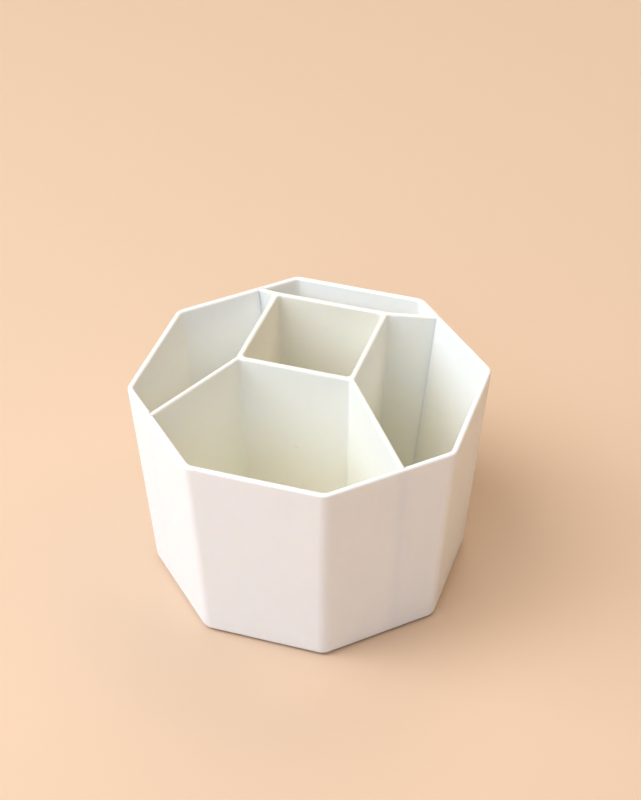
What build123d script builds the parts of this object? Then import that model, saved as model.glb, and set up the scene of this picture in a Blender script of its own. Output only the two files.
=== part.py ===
from build123d import *
import os

# A desk organizer: an octagonal pen cup that widens upwards, a divider insert that drops into it
# and lifts out, and four rubber foot pads under it. Millimetres, Z up, X to the right, Y to the back.
# The origin is on the desk, under the middle of the cup, and one flat side of the cup faces -Y.

# Driving dimensions of the cup
SIDES = 8
HEIGHT = 80.0             # from the desk to the rim
RIM_FLATS = 120.0         # outside, across two flat sides, at the rim
BASE_FLATS = 107.6        # the same at the underside
WALL = 2.1                # side wall, measured level
FLOOR = 2.4
CORNER_ROUND = 5.4        # outside of the eight upright corners
RIM_ROUND = 0.9           # both edges of the rim
BASE_ROUND = 1.7          # outside edge of the underside
FLOOR_ROUND = 1.2         # where the side walls meet the floor inside

# Driving dimensions of the divider insert
CELL_X = -7.2             # middle of the square cell, which stands left of and behind the cup's middle
CELL_Y = 25.4
CELL_SIDE = 44.6          # outside of the cell at the rim
CELL_DRAFT = 2.1          # how far its left, front and right walls lean in on the way to the floor
CELL_WALL = 2.2
CELL_ROUND = 1.5          # upright corners inside the cell
FIN = 2.0                 # thickness of each fin
FIN_ROUND = 1.2           # where the fins meet the cell
TOP_ROUND = 0.85          # both edges along the top of the insert
# Each fin leaves one corner of the cell and heads for a slanting side of the cup. These are the
# headings, in degrees from +X, from the front left corner round to the back left corner.
FIN_HEADINGS = (-113.5, -54.0, 11.0, 173.0)

# How the insert sits in the cup
GROOVE_DEPTH = 0.9        # upright grooves in the cup's wall that hold the ends of the fins
CLEARANCE = 0.15          # around the end of each fin, and between the cell and the cup's wall
FOOT_RELIEF = 2.0         # cut off the insert's bottom edge, clear of the round at the floor

# Rubber pads under the cup
PAD_DIAMETER = 10.0
PAD_THICKNESS = 1.6
PAD_PROUD = 0.6           # how far a pad stands out of its pocket
PAD_PLACE = 32.0          # middle of a pad from the middle of the cup, in X and in Y
PAD_ROUND = 0.3
POCKET_GAP = 0.15

# A moulding gate in a shallow dimple, in the middle of the underside
DIMPLE_DIAMETER = 9.0
DIMPLE_DEPTH = 0.6
GATE_DIAMETER = 2.4
GATE_HEIGHT = 0.4

FLOOR_TOP = PAD_PROUD + FLOOR
OVERRUN = 4.0             # how far cutting shapes run past the faces that they cut
FIN_END = 0.45 * RIM_FLATS    # the level edges centred further out than this end the fins


def octagon(inset, z):
    """A level octagon, inset from the cup's outside at that height, with a flat side to the front."""
    share = (z - PAD_PROUD) / (HEIGHT - PAD_PROUD)
    flats = BASE_FLATS + (RIM_FLATS - BASE_FLATS) * share - 2 * inset
    return Pos(0, 0, z) * RegularPolygon(flats / 2, SIDES, major_radius=False, rotation=180 / SIDES)


def leaning_edges(body):
    """The edges that run from one level to another."""
    return body.edges().filter_by(lambda edge: edge.bounding_box().size.Z > OVERRUN)


def edges_at(body, z):
    """The edges that lie in one level plane."""
    return body.edges().filter_by(Plane.XY).filter_by_position(Axis.Z, z - 0.01, z + 0.01)


def tapered_octagon(low, high, inset):
    """A sharp-cornered solid that follows the cup's outside between two heights, inset all round."""
    return loft([octagon(inset, low), octagon(inset, high)], ruled=True)


def cylinder_on(x, y, low, diameter, height):
    """An upright cylinder that stands on one level."""
    return Pos(x, y, low) * Cylinder(diameter / 2, height, align=(Align.CENTER, Align.CENTER, Align.MIN))


def cell_faces(z):
    """How far the cell's outside faces are from its middle: left, front, right and back."""
    leaning = CELL_SIDE / 2 - CELL_DRAFT * (HEIGHT - z) / (HEIGHT - FLOOR_TOP)
    return leaning, leaning, leaning, CELL_SIDE / 2


def cell_hollow():
    """The space inside the cell, from below the floor to above the rim."""
    ends = []
    for z in (FLOOR_TOP - OVERRUN, HEIGHT + OVERRUN):
        left, front, right, back = [face - CELL_WALL for face in cell_faces(z)]
        middle = Pos(CELL_X + (right - left) / 2, CELL_Y + (back - front) / 2, z)
        ends.append(middle * Rectangle(left + right, front + back))
    hollow = loft(ends, ruled=True)
    return fillet(leaning_edges(hollow), CELL_ROUND)


def fin_lines():
    """Each fin's corner, seen from the cell's middle, with the fin's direction and its left side."""
    wall_middle = (CELL_SIDE - CELL_WALL) / 2
    for number, heading in enumerate(FIN_HEADINGS):
        corner = Vector(-wall_middle, -wall_middle).rotate(Axis.Z, 90 * number)
        along = Vector(1, 0).rotate(Axis.Z, heading)
        yield corner, along, along.rotate(Axis.Z, 90)


def insert_outline(z):
    """The insert's outline at one height, with fins that run on past the cup's wall."""
    faces = cell_faces(z)
    points = []
    for number, (corner, along, left) in enumerate(fin_lines()):
        right_side = corner - left * FIN / 2
        left_side = corner + left * FIN / 2
        facing_in = Vector(-1, 0).rotate(Axis.Z, 90 * number)
        facing_out = facing_in.rotate(Axis.Z, 90)
        to_root_in = (faces[number] - right_side.dot(facing_in)) / along.dot(facing_in)
        to_root_out = (faces[(number + 1) % 4] - left_side.dot(facing_out)) / along.dot(facing_out)
        points.append(right_side + along * to_root_in)
        points.append(right_side + along * RIM_FLATS)
        points.append(left_side + along * RIM_FLATS)
        points.append(left_side + along * to_root_out)
    outline = make_face(Polyline(points, close=True))
    roots = [corner for corner in outline.vertices() if Vector(*corner).length < CELL_SIDE]
    return Pos(CELL_X, CELL_Y, z) * fillet(roots, FIN_ROUND)


def fin_plates(thickness, limit):
    """Flat upright plates along the four fins, out to a limiting solid."""
    height = HEIGHT + OVERRUN - FLOOR_TOP
    plate = Box(RIM_FLATS, thickness, height, align=(Align.MIN, Align.CENTER, Align.MIN))
    for (corner, _, _), heading in zip(fin_lines(), FIN_HEADINGS):
        start = Pos(CELL_X + corner.X, CELL_Y + corner.Y, FLOOR_TOP) * Rot(0, 0, heading)
        yield start * plate & limit


def pad_places():
    """Name and place of each foot pad, under the four slanting sides."""
    for depth, y in (("front", -PAD_PLACE), ("back", PAD_PLACE)):
        for side, x in (("left", -PAD_PLACE), ("right", PAD_PLACE)):
            yield f"foot_pad_{depth}_{side}", x, y


def outer_cup():
    """The cup: one moulding with eight side walls, a floor, grooves for the fins and pad pockets."""
    cup = tapered_octagon(PAD_PROUD, HEIGHT, 0)
    cup = fillet(leaning_edges(cup), CORNER_ROUND)
    cup = fillet(edges_at(cup, PAD_PROUD), BASE_ROUND)
    cavity = tapered_octagon(FLOOR_TOP, HEIGHT + OVERRUN, WALL)
    cavity = fillet(leaning_edges(cavity), CORNER_ROUND - WALL)
    cup -= fillet(edges_at(cavity, FLOOR_TOP), FLOOR_ROUND)
    cup = fillet(edges_at(cup, HEIGHT), RIM_ROUND)
    groove_limit = tapered_octagon(FLOOR_TOP, HEIGHT + OVERRUN, WALL - GROOVE_DEPTH)
    for groove in fin_plates(FIN + 2 * CLEARANCE, groove_limit):
        cup -= groove
    for _, x, y in pad_places():
        cup -= cylinder_on(x, y, 0, PAD_DIAMETER + 2 * POCKET_GAP, PAD_THICKNESS)
    cup -= cylinder_on(0, 0, 0, DIMPLE_DIAMETER, PAD_PROUD + DIMPLE_DEPTH)
    gate_low = PAD_PROUD + DIMPLE_DEPTH - GATE_HEIGHT
    return cup + cylinder_on(0, 0, gate_low, GATE_DIAMETER, GATE_HEIGHT + FLOOR / 2)


def divider_insert():
    """The insert: a square cell with no floor, and a fin from each of its corners to the cup's wall."""
    insert = loft([insert_outline(FLOOR_TOP), insert_outline(HEIGHT)], ruled=True)
    insert &= tapered_octagon(FLOOR_TOP, HEIGHT, WALL + CLEARANCE)
    tab_limit = tapered_octagon(FLOOR_TOP, HEIGHT, WALL - GROOVE_DEPTH + CLEARANCE)
    for fin in fin_plates(FIN, tab_limit):
        insert += fin
    insert &= chamfer(edges_at(tab_limit, FLOOR_TOP), FOOT_RELIEF)
    insert -= cell_hollow()
    middle = Vector(0, 0, HEIGHT)
    top = [edge for edge in edges_at(insert, HEIGHT) if (edge.center() - middle).length < FIN_END]
    return fillet(top, TOP_ROUND)


def foot_pad(x, y):
    """A round rubber pad, glued into its pocket."""
    pad = cylinder_on(x, y, 0, PAD_DIAMETER, PAD_THICKNESS)
    return fillet(edges_at(pad, 0), PAD_ROUND)


if __name__ == "__main__":
    os.makedirs("parts", exist_ok=True)
    export_step(outer_cup(), "parts/outer_cup.step")
    export_step(divider_insert(), "parts/divider_insert.step")
    for name, x, y in pad_places():
        export_step(foot_pad(x, y), f"parts/{name}.step")
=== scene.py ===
# %% [markdown]
# # A desk organizer in warm white plastic
#
# The organizer is an octagonal cup that widens upwards. A divider insert drops into it: a square
# cell with a fin at each corner, which splits the cup into five spaces. Four rubber pads stand
# under the base. Every wall is a thin moulding, so the whole look comes from one satin, slightly
# translucent plastic, its soft edges and the small marks that use leaves on it.
#
# The shapes come from the CAD model, already at their real size and place, in metres. They are
# right as they are, so this lesson leaves their meshes alone and spends its effort on the finishes
# and on the light.

# %% Load the parts
from math import cos, radians, sin

import bpy
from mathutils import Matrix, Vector


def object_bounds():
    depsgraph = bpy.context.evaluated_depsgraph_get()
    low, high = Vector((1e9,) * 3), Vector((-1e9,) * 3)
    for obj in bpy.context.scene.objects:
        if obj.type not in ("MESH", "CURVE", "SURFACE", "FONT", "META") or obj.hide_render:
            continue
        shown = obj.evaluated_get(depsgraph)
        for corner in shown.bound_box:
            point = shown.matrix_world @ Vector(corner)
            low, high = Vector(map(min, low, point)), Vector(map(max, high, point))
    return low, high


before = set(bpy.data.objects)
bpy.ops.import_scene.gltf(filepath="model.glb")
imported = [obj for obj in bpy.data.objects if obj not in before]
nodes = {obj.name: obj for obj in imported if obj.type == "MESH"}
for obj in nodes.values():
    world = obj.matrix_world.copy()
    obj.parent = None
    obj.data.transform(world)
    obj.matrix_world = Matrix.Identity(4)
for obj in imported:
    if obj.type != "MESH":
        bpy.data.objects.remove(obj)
cad_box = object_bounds()
print("parts:", sorted(nodes))
print("box:", [[round(value, 4) for value in corner] for corner in cad_box])

# %% [markdown]
# ## The camera
#
# The organizer is seen from above and a little to its right, as by someone who sits down at the
# desk. A lens of nearly 90 mm from 0.75 m away keeps the upright walls from spreading much, and
# the steep angle lets the eye into the compartments.

# %% Camera
CAMERA_PLACE = (0.1735, -0.5275, 0.4989)
CAMERA_DOWN = 37.67
CAMERA_TURN = 17.84
LENS = 88.6

camera_data = bpy.data.cameras.new("camera")
camera_data.lens = LENS
camera = bpy.data.objects.new("camera", camera_data)
camera.location = CAMERA_PLACE
camera.rotation_euler = (radians(90 - CAMERA_DOWN), 0, radians(CAMERA_TURN))
bpy.context.scene.collection.objects.link(camera)
bpy.context.scene.camera = camera
print("camera to rim:", round((camera.location - Vector((0, 0, cad_box[1].z))).length, 3), "m")

# %% [markdown]
# ## Shader maths in Python
#
# A finish is a set of nodes that turn a place on the surface into a colour, a roughness and a
# bump. Wiring dozens of nodes by hand is slow to read. So a small class wraps each socket, and
# `+ - *` on it add the Math nodes. One method, `add`, makes every other node.

# %% A socket that takes arithmetic
class Channel:
    """One socket of a node tree. Arithmetic on it adds Math nodes."""

    def __init__(self, shading, socket):
        self.shading = shading
        self.socket = socket

    def math(self, operation, first, second):
        made = self.shading.add("ShaderNodeMath", {"operation": operation}, {0: first, 1: second})
        return made["Value"]

    def __add__(self, other):
        return self.math("ADD", self, other)

    def __radd__(self, other):
        return self.math("ADD", other, self)

    def __sub__(self, other):
        return self.math("SUBTRACT", self, other)

    def __rsub__(self, other):
        return self.math("SUBTRACT", other, self)

    def __mul__(self, other):
        return self.math("MULTIPLY", self, other)

    def __rmul__(self, other):
        return self.math("MULTIPLY", other, self)

    def __abs__(self):
        return self.math("ABSOLUTE", self, 0)


print("sockets now take + - * and abs")

# %% [markdown]
# ## Where the nodes go
#
# Materials and the world both hold a tree of nodes. `Shading` starts such a tree empty and adds
# nodes to it. `Finish` is the same for a material, with the patterns that a finish is made of: a
# noise of a known size in metres, a smooth step, and a mix of two colours. All patterns start from
# the object's own coordinates, so they stay on a part when it moves.

# %% Shading and Finish
class Shading:
    """A node tree under construction."""

    def __init__(self, owner):
        owner.use_nodes = True
        self.tree = owner.node_tree
        self.tree.nodes.clear()

    def add(self, kind, settings=None, sockets=None):
        """Adds a node: its settings, then its sockets' values or links. Returns its outputs."""
        node = self.tree.nodes.new(kind)
        for setting, value in (settings or {}).items():
            setattr(node, setting, value)
        for key, value in (sockets or {}).items():
            if isinstance(key, int):
                socket = node.inputs[key]
            else:
                socket = next(each for each in node.inputs if each.name == key and each.enabled)
            if isinstance(value, Channel):
                self.tree.links.new(value.socket, socket)
            else:
                socket.default_value = value
        return {output.name: Channel(self, output) for output in node.outputs if output.enabled}


class Finish(Shading):
    """A material under construction."""

    def __init__(self, name):
        self.material = bpy.data.materials.new(name)
        super().__init__(self.material)
        self.place = self.add("ShaderNodeTexCoord")["Object"]

    def axes(self):
        """The place on the surface as three numbers."""
        split = self.add("ShaderNodeSeparateXYZ", sockets={"Vector": self.place})
        return split["X"], split["Y"], split["Z"]

    def noise(self, size, detail, seed, stretch=(1, 1, 1)):
        """Soft random values from 0 to 1, with features of about this size in metres."""
        mapped = self.add("ShaderNodeMapping", sockets={"Vector": self.place, "Scale": stretch})
        sockets = {"Vector": mapped["Vector"], "W": seed, "Scale": 1 / size, "Detail": detail}
        return self.add("ShaderNodeTexNoise", {"noise_dimensions": "4D"}, sockets)["Fac"]

    def step(self, value, low, high):
        """0 below low, 1 above high, a smooth rise between. It falls if low is above high."""
        sockets = {"Value": value, "From Min": low, "From Max": high}
        settings = {"interpolation_type": "SMOOTHSTEP"}
        return self.add("ShaderNodeMapRange", settings, sockets)["Result"]

    def larger(self, first, second):
        """The larger of two values."""
        return self.add("ShaderNodeMath", {"operation": "MAXIMUM"}, {0: first, 1: second})["Value"]

    def mix(self, share, first, second):
        """A colour that goes from first to second as share goes from 0 to 1."""
        sockets = {"Factor": share, "A": first, "B": second}
        return self.add("ShaderNodeMix", {"data_type": "RGBA"}, sockets)["Result"]

    def surface(self, **sockets):
        """Ends the finish with a principled surface. An underscore in a name stands for a space."""
        named = {name.replace("_", " "): value for name, value in sockets.items()}
        shader = self.add("ShaderNodeBsdfPrincipled", sockets=named)
        self.add("ShaderNodeOutputMaterial", sockets={"Surface": shader["BSDF"]})
        return self.material


def rgba(red, green, blue):
    """A colour with full cover, from three linear values."""
    return (red, green, blue, 1.0)


# %% [markdown]
# ## The plastic
#
# The real plastic is a warm white polymer straight from a fine-eroded mould. These things make it
# look real up close:
#
# - the colour drifts a little from place to place, as pigment does in a moulding
# - the surface has a very fine grain, and a slow waviness that bends the soft reflections
# - light goes a millimetre or two into it, which softens the edges and warms the shaded sides
# - painted shade makes it creamier inside than outside, most of all deep down and in the square
#   cell
# - a faint upright line shows outside where a fin meets the wall: thick plastic sinks there, and
#   painted shade darkens it
# - the top edges are polished and carry painted shade that tones down their highlight, and handling
#   has left hairlines and rubs
# - a little dust has settled low down, where no cloth reaches
#
# An image could carry all this, but it would need unwrapping and would blur up close. Noise and
# simple distances from the walls need neither, so the whole finish is made of them.

# %% Measures of the plastic, in metres
RIM = cad_box[1].z
HALF_RIM = cad_box[1].x
HALF_BASE = 0.0538
GRAIN_SIZE = 0.0003
GRAIN_DEPTH = 0.000003
WAVE_SIZE = 0.016
WAVE_DEPTH = 0.00005
DRIFT_SIZE = 0.03
BLOTCH_SIZE = 0.009
DUST_SIZE = 0.006
DUST_TOP = 0.020
RUB_SIZE = 0.004
RUB_STRETCH = (1, 1, 0.09)
EDGE_DEPTH = 0.0012
GLOW_REACH = 0.0022
print("rim at", round(RIM, 4), "m, waves of", WAVE_SIZE, "m")

# %% [markdown]
# ## Marks of use
#
# Pens leave short straight hairlines, and one has left a small dark rub on the front wall of the
# square cell. Lines drawn one by one would soon repeat. A noise that is stretched a lot along one
# turned axis gives short straight lines that don't, and a slow second noise gathers them in places.

# %% Hairlines and a rub
SCRATCH_WIDTH = 0.0005
SCRATCH_DEPTH = 0.000004
SCRATCH_STRETCH = (1, 1, 0.03)
SCRATCH_PATCH = 0.018
ONE_WAY = (0.5, 0.3, 0.0)
OTHER_WAY = (-0.9, 0.6, 0.4)
SCUFF_X = -0.0067
SCUFF_Z = 0.0438
SCUFF_HALF_WIDTH = 0.0016
SCUFF_HALF_HEIGHT = 0.0005
SCUFF_SLOPE = 0.25
SCUFF_GRAIN = 0.0008


def scratches(finish, seed, turn):
    """Short straight hairlines, all one way: a noise that is stretched along one turned axis."""
    turned = finish.add("ShaderNodeMapping", sockets={"Vector": finish.place, "Rotation": turn})
    stretched = {"Vector": turned["Vector"], "Scale": SCRATCH_STRETCH}
    drawn = finish.add("ShaderNodeMapping", sockets=stretched)
    sockets = {"Vector": drawn["Vector"], "W": seed, "Scale": 1 / SCRATCH_WIDTH, "Detail": 1.0}
    noise = finish.add("ShaderNodeTexNoise", {"noise_dimensions": "4D"}, sockets)["Fac"]
    here = finish.step(finish.noise(SCRATCH_PATCH, 2.0, seed + 0.5), 0.52, 0.66)
    return finish.step(noise, 0.66, 0.76) * here


def scuff(finish, x, z):
    """A small dark rub on the cell's front wall. Every face at that width and height gets it."""
    wide = finish.step(abs(x - SCUFF_X), SCUFF_HALF_WIDTH, 0.0004)
    slanted = abs(z - SCUFF_Z + (x - SCUFF_X) * SCUFF_SLOPE)
    tall = finish.step(slanted, SCUFF_HALF_HEIGHT, 0.0001)
    return wide * tall * finish.noise(SCUFF_GRAIN, 2.0, 40.0)


print("hairlines", SCRATCH_WIDTH, "m wide")

# %% [markdown]
# ## Where painted shade and sink lines follow the shape
#
# Three things follow the shape. The wall sinks very slightly where a fin stands behind it, and
# painted shade darkens the colour there. The inside of the cup is painted creamier than the
# outside, as painted shade for the light that bounces between the walls and takes up their tone.
# The square cell gets the creamiest painted shade. Putting them in an image would need unwrapped
# meshes. Here each one is a distance, worked out from the same measures that the parts have.

# %% Sink lines and painted shade inside
FINS = (
    (-0.0284, 0.0042, -113.5),
    (0.0140, 0.0042, -54.0),
    (0.0140, 0.0466, 11.0),
    (-0.0284, 0.0466, 173.0),
)
FIN_START = 0.008
FIN_FULL = 0.012
SINK_WIDTH = 0.0022
SINK_DEPTH = 0.00001
WALL_SKIN = 0.0008
CELL_X = -0.0072
CELL_Y = 0.0254
CELL_HALF = 0.0213
CELL_BLEND = 0.0006


def sink_and_shade_lines(finish, x, y):
    """Upright lines on the cup's wall, where each fin stands behind it: a sink and painted shade.
    """
    total = 0.0
    for fin_x, fin_y, heading in FINS:
        ahead, aside = cos(radians(heading)), sin(radians(heading))
        across = abs((y - fin_y) * ahead - (x - fin_x) * aside)
        along = (x - fin_x) * ahead + (y - fin_y) * aside
        line = finish.step(across, SINK_WIDTH, 0.0004) * finish.step(along, FIN_START, FIN_FULL)
        total = line + total
    return total


def inside_of_wall(finish, x, y, z):
    """1 on the inner face of the cup's wall and within it, 0 on the outer face."""
    slant = abs(x + y) * sin(radians(45))
    other_slant = abs(x - y) * sin(radians(45))
    across = finish.larger(finish.larger(abs(x), abs(y)), finish.larger(slant, other_slant))
    outer_face = HALF_BASE + (HALF_RIM - HALF_BASE) / RIM * z
    return finish.step(outer_face - across, WALL_SKIN, 2 * WALL_SKIN)


def inside_of_cell(finish, x, y):
    """1 within the square cell and on the inner faces of its four walls, 0 outside it."""
    across = finish.larger(abs(x - CELL_X), abs(y - CELL_Y))
    return finish.step(across, CELL_HALF, CELL_HALF - CELL_BLEND)


print("fins:", len(FINS), "cell", 2 * CELL_HALF, "m wide")

# %% [markdown]
# ## The whole finish
#
# The layers go on in turn: the drifting base tone, the painted shade inside, blotches, rubs,
# hairlines and dust, and the painted shade on the top edge near the end. Each layer mixes its tone
# in by its own share.
# The same patterns then change the gloss, and the hairlines and sink lines go into the relief, so
# that a mark shows in the reflections as well as in the colour.

# %% Warm white plastic
SATIN = 0.42
TRANSLUCENCY = 0.4
PLASTIC_IOR = 1.49
DRIFT_LIFT = 0.02
# Painted shade inside the cup: how far the inner walls go to the creamier tone, and how much of it
# shows at the rim.
DEPTH_SHADE_SHARE = 0.9
DEPTH_SHADE_AT_RIM = 0.35
BLOTCH_SHARE, BLOTCH_TONE = 0.2, rgba(0.85, 0.83, 0.78)
RUB_SHARE, RUB_TONE = 0.10, rgba(0.76, 0.73, 0.68)
HAIRLINE_SHARE, HAIRLINE_TONE = 0.12, rgba(0.62, 0.60, 0.56)
DUST_SHARE, DUST_TONE = 0.12, rgba(0.70, 0.65, 0.56)
# Painted shade in the square cell: its creamier tone and how far it goes.
CELL_SHADE_SHARE, CELL_SHADE_TONE = 0.9, rgba(0.862, 0.823, 0.708)
SCUFF_SHARE, SCUFF_TONE = 0.35, rgba(0.36, 0.34, 0.31)
# Painted shade along the sink lines, where a fin stands behind the thin wall.
FIN_SHADE_SHARE, FIN_SHADE_TONE = 0.12, rgba(0.80, 0.77, 0.71)
# Painted shade on the top edge, which tones down its highlight.
RIM_SHADE_SHARE = 0.8


def warm_white_plastic(name, seed, tone, depth_shade_tone, rim_shade_tone):
    """The satin plastic. Each moulding has its own seed, so that no two share a mark."""
    finish = Finish(name)
    x, y, z = finish.axes()
    drift = finish.noise(DRIFT_SIZE, 3.0, seed)
    blotch = finish.step(finish.noise(BLOTCH_SIZE, 4.0, seed + 1), 0.35, 0.75)
    # The top edge: painted shade in the colour, and polish in the gloss.
    rim_shade_and_polish = finish.step(z, RIM - EDGE_DEPTH, RIM - 0.0002)
    settled = finish.step(z, DUST_TOP, 0.003)
    dust = settled * finish.step(finish.noise(DUST_SIZE, 5.0, seed + 2), 0.3, 0.8)
    rub = finish.step(finish.noise(RUB_SIZE, 3.0, seed + 4, RUB_STRETCH), 0.6, 0.8)
    lines = scratches(finish, seed, ONE_WAY) + scratches(finish, seed + 2, OTHER_WAY)
    # Painted shade: creamier and darker inside the wall, growing from the rim downward.
    depth = finish.step(z, RIM - 0.001, 0.018)
    painted_depth_shade = (DEPTH_SHADE_AT_RIM + (1 - DEPTH_SHADE_AT_RIM) * depth) * inside_of_wall(finish, x, y, z)

    lifted = [value + DRIFT_LIFT for value in tone]
    colour = finish.mix(drift, rgba(*tone), rgba(*lifted))
    # Painted shade: the inside of the wall goes to the creamier tone.
    colour = finish.mix(painted_depth_shade * DEPTH_SHADE_SHARE, colour, rgba(*depth_shade_tone))
    colour = finish.mix(blotch * BLOTCH_SHARE, colour, BLOTCH_TONE)
    colour = finish.mix(rub * RUB_SHARE, colour, RUB_TONE)
    colour = finish.mix(lines * HAIRLINE_SHARE, colour, HAIRLINE_TONE)
    colour = finish.mix(dust * DUST_SHARE, colour, DUST_TONE)
    if name == "insert_plastic":
        # Painted shade: the square cell is painted creamiest.
        colour = finish.mix(inside_of_cell(finish, x, y) * CELL_SHADE_SHARE, colour, CELL_SHADE_TONE)
        colour = finish.mix(scuff(finish, x, z) * SCUFF_SHARE, colour, SCUFF_TONE)
    # Painted shade: the top edge is darkened to tone down its highlight.
    colour = finish.mix(rim_shade_and_polish * RIM_SHADE_SHARE, colour, rgba(*rim_shade_tone))

    roughness = SATIN + 0.08 * blotch + 0.06 * rub + 0.08 * lines + 0.15 * dust - 0.12 * rim_shade_and_polish
    height = GRAIN_DEPTH * finish.noise(GRAIN_SIZE, 2.0, seed + 5)
    height = height + WAVE_DEPTH * finish.noise(WAVE_SIZE, 1.0, seed + 6) - SCRATCH_DEPTH * lines
    if name == "cup_plastic":
        sink_and_shade = sink_and_shade_lines(finish, x, y)
        # Painted shade in the colour of each sink line; the sink itself goes into the relief below.
        colour = finish.mix(sink_and_shade * FIN_SHADE_SHARE, colour, FIN_SHADE_TONE)
        height = height - SINK_DEPTH * sink_and_shade
    relief = {"Height": height, "Distance": 1.0, "Strength": 1.0}
    bump = finish.add("ShaderNodeBump", sockets=relief)
    return finish.surface(
        Base_Color=colour,
        Roughness=roughness,
        IOR=PLASTIC_IOR,
        Subsurface_Weight=TRANSLUCENCY,
        Subsurface_Radius=(1.0, 0.8, 0.45),
        Subsurface_Scale=GLOW_REACH,
        Normal=bump["Normal"],
    )


# %% [markdown]
# ## The two mouldings
#
# The cup and the insert are moulded from the same plastic. The insert stands inside the cup, so
# its tone is made a little creamier and its top edges darker, as painted shade for the light that
# bounces between the walls. Each takes its own seed, so that a mark on one isn't repeated on the
# other.

# %% The two mouldings
cup_plastic = warm_white_plastic(
    "cup_plastic",
    seed=1.0,
    tone=(0.866, 0.857, 0.850),
    depth_shade_tone=(0.870, 0.850, 0.730),
    rim_shade_tone=(0.77, 0.765, 0.745),
)
# The insert's creamier tone and darker top edge are painted shade, since it stands inside the cup.
insert_plastic = warm_white_plastic(
    "insert_plastic",
    seed=11.0,
    tone=(0.867, 0.851, 0.812),
    depth_shade_tone=(0.868, 0.845, 0.715),
    rim_shade_tone=(0.70, 0.685, 0.65),
)
for plastic in (cup_plastic, insert_plastic):
    print(plastic.name, "nodes:", len(plastic.node_tree.nodes))

# %% [markdown]
# ## The rubber pads
#
# The pads are cut from dark grey sheet rubber. Rubber is dull and picks up dust where it touches
# the desk, so the finish is rough, with small pores and a pale bloom on the underside.

# %% Rubber
PORE_SIZE = 0.0006
PORE_DEPTH = 0.00004
BLOOM_SIZE = 0.002
BLOOM_TOP = 0.0006


def pad_rubber():
    """Dull dark rubber with pores, and dust on the face that meets the desk."""
    finish = Finish("pad_rubber")
    z = finish.axes()[2]
    pores = finish.step(finish.noise(PORE_SIZE, 3.0, 21.0), 0.42, 0.60)
    patchy = finish.step(finish.noise(BLOOM_SIZE, 4.0, 22.0), 0.35, 0.7)
    bloom = finish.step(z, BLOOM_TOP, 0.0001) * patchy
    colour = finish.mix(pores * 0.5, rgba(0.022, 0.022, 0.024), rgba(0.04, 0.04, 0.043))
    colour = finish.mix(bloom * 0.5, colour, rgba(0.16, 0.15, 0.135))
    bump = finish.add("ShaderNodeBump", sockets={"Height": PORE_DEPTH * pores, "Distance": 1.0})
    return finish.surface(
        Base_Color=colour,
        Roughness=0.72 + 0.18 * bloom + 0.06 * pores,
        Normal=bump["Normal"],
    )


rubber = pad_rubber()
print("rubber nodes:", len(rubber.node_tree.nodes))

# %% [markdown]
# ## A finish for each part
#
# Each part brings a slot for its material, and its finish goes straight into that slot. Nothing
# else about the part is touched.

# %% Give each part its finish
for name, part in nodes.items():
    material = rubber if name.startswith("foot_pad") else cup_plastic
    if name == "divider_insert":
        material = insert_plastic
    for slot in part.material_slots:
        slot.material = material
    print(name, "->", material.name)

# %% [markdown]
# ## The floor
#
# The organizer stands on a plain pale surface. A warm tone is kept, because a desk throws warm
# light up onto the lower walls, and that light is part of how the plastic looks.

# %% Floor
FLOOR_REACH = 5.0
FLOOR_TONE = rgba(0.60, 0.425, 0.295)

bpy.ops.object.select_all(action="DESELECT")
bpy.ops.mesh.primitive_circle_add(vertices=64, radius=FLOOR_REACH, fill_type="NGON")
floor = bpy.context.object
floor.name = "floor"


def pale_floor():
    """A plain matt surface, with a little unevenness in its gloss."""
    finish = Finish("pale_floor")
    gloss = finish.noise(0.08, 3.0, 31.0)
    return finish.surface(Base_Color=FLOOR_TONE, Roughness=0.5 + 0.1 * gloss)


floor.data.materials.append(pale_floor())
print("floor reaches", FLOOR_REACH, "m")

# %% [markdown]
# ## The light
#
# Soft studio light. One large cool panel stands near the cup at the left, like a window, and makes
# the bright side. The rest comes from soft lamps far away, which light the whole floor evenly. The
# highest two whiten the top edges and reach into the compartments, and the other three keep the
# shaded walls readable. A sun lamp with a wide angle is such a far panel: it has a heading, a
# height and an apparent size, and no place. Each row below is a heading, a height, a strength and
# a colour.

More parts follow.
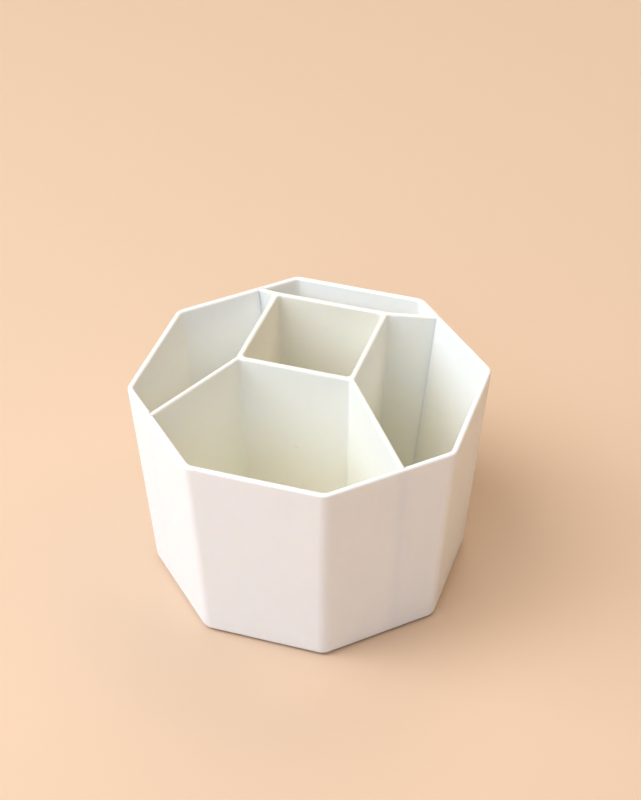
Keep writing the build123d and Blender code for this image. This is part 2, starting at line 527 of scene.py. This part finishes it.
# %% Lights
WINDOW_HEADING = 203
WINDOW_HEIGHT = 38
WINDOW_SIDE = 0.6
WINDOW_POWER = 5.9
WINDOW_COLOUR = (0.72, 0.84, 1.0)
LAMP_DISTANCE = 0.95
FAR_SIZE = 35
FAR_LAMPS = {
    "window_top": (210, 62, 1.48, (1.0, 1.0, 0.98)),
    "front": (267, 38, 0.84, (0.48, 0.69, 1.0)),
    "front_top": (280, 64, 0.54, (1.0, 0.94, 0.85)),
    "right_top": (26, 58, 0.63, (1.0, 0.77, 0.53)),
    "back_top": (95, 52, 0.66, (1.0, 0.86, 0.68)),
}


def hang(name, kind, heading, height, energy, colour):
    """A lamp that shines at the cup from a heading and a height, in degrees, seen from the cup."""
    data = bpy.data.lights.new(name, kind)
    data.energy = energy
    data.color = colour
    lamp = bpy.data.objects.new(name, data)
    turn, rise = radians(heading), radians(height)
    away = Vector((cos(turn) * cos(rise), sin(turn) * cos(rise), sin(rise)))
    lamp.location = away * LAMP_DISTANCE
    lamp.rotation_euler = away.to_track_quat("Z", "Y").to_euler()
    lamp.visible_camera = False
    bpy.context.scene.collection.objects.link(lamp)
    return data


window = hang("window", "AREA", WINDOW_HEADING, WINDOW_HEIGHT, WINDOW_POWER, WINDOW_COLOUR)
window.size = WINDOW_SIDE
for name, (heading, height, strength, colour) in FAR_LAMPS.items():
    hang(name, "SUN", heading, height, strength, colour).angle = radians(FAR_SIZE)

print("lamps:", 1 + len(FAR_LAMPS))

# %% [markdown]
# ## The pale world
#
# The world lights the shaded sides a little, in a warm white. Low views look past the floor into
# it, and there it should be pale. So it has two strengths: one for light, and a brighter one for
# what the camera sees directly.

# %% World
WORLD_GLOW = 0.26
WORLD_SEEN = 0.88
GLOW_COLOUR = rgba(1.0, 0.95, 0.89)
SEEN_COLOUR = rgba(1.0, 0.97, 0.94)

world = bpy.data.worlds.new("world")
sky = Shading(world)
glow = sky.add("ShaderNodeBackground", sockets={"Color": GLOW_COLOUR, "Strength": WORLD_GLOW})
seen = sky.add("ShaderNodeBackground", sockets={"Color": SEEN_COLOUR, "Strength": WORLD_SEEN})
camera_ray = sky.add("ShaderNodeLightPath")["Is Camera Ray"]
halves = {0: camera_ray, 1: glow["Background"], 2: seen["Background"]}
either = sky.add("ShaderNodeMixShader", sockets=halves)
sky.add("ShaderNodeOutputWorld", sockets={"Surface": either["Shader"]})
bpy.context.scene.world = world
bpy.context.scene.view_settings.view_transform = "Standard"
print("world:", WORLD_GLOW, "as light,", WORLD_SEEN, "as seen")
